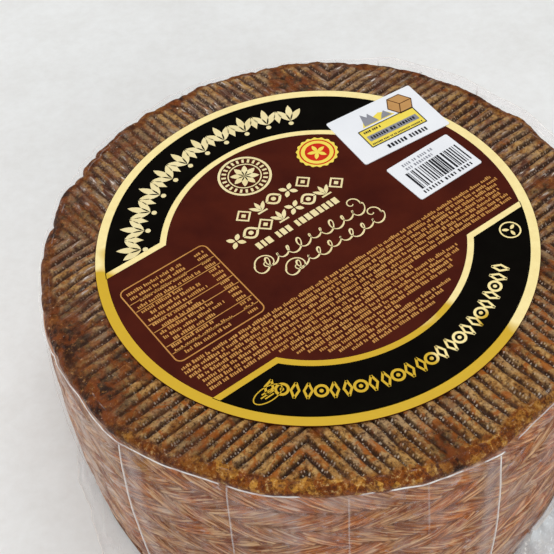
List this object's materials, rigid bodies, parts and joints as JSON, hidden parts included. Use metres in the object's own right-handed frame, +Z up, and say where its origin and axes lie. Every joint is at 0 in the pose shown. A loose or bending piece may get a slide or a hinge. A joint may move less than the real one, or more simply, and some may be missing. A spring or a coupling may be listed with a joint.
{
  "type": "manchego cheese wheel",
  "caption": "Cured sheep's-milk cheese wheel with herringbone faces and a plait-printed side, in a clear vacuum bag with a round paper label and small stickers.",
  "frame": {"origin": "middle of the wheel's underside, on the surface it stands on", "axes": "+Z up along the wheel's axis, -Y towards the front"},
  "size_m": [0.2226, 0.214, 0.1027],
  "materials": {
    "rind": "brown cheese rind under tight clear film",
    "label_paper": "coated maroon, black and gold paper",
    "seal_paper": "white paper",
    "code_paper": "white paper",
    "film": "clear, slightly milky plastic film"
  },
  "bodies": {
    "root": {"cheese": "rind", "label": "label_paper", "control_seal": "seal_paper", "code_sticker": "code_paper", "film_wrap": "film", "film_skirt": "film"}
  },
  "joints": []
}
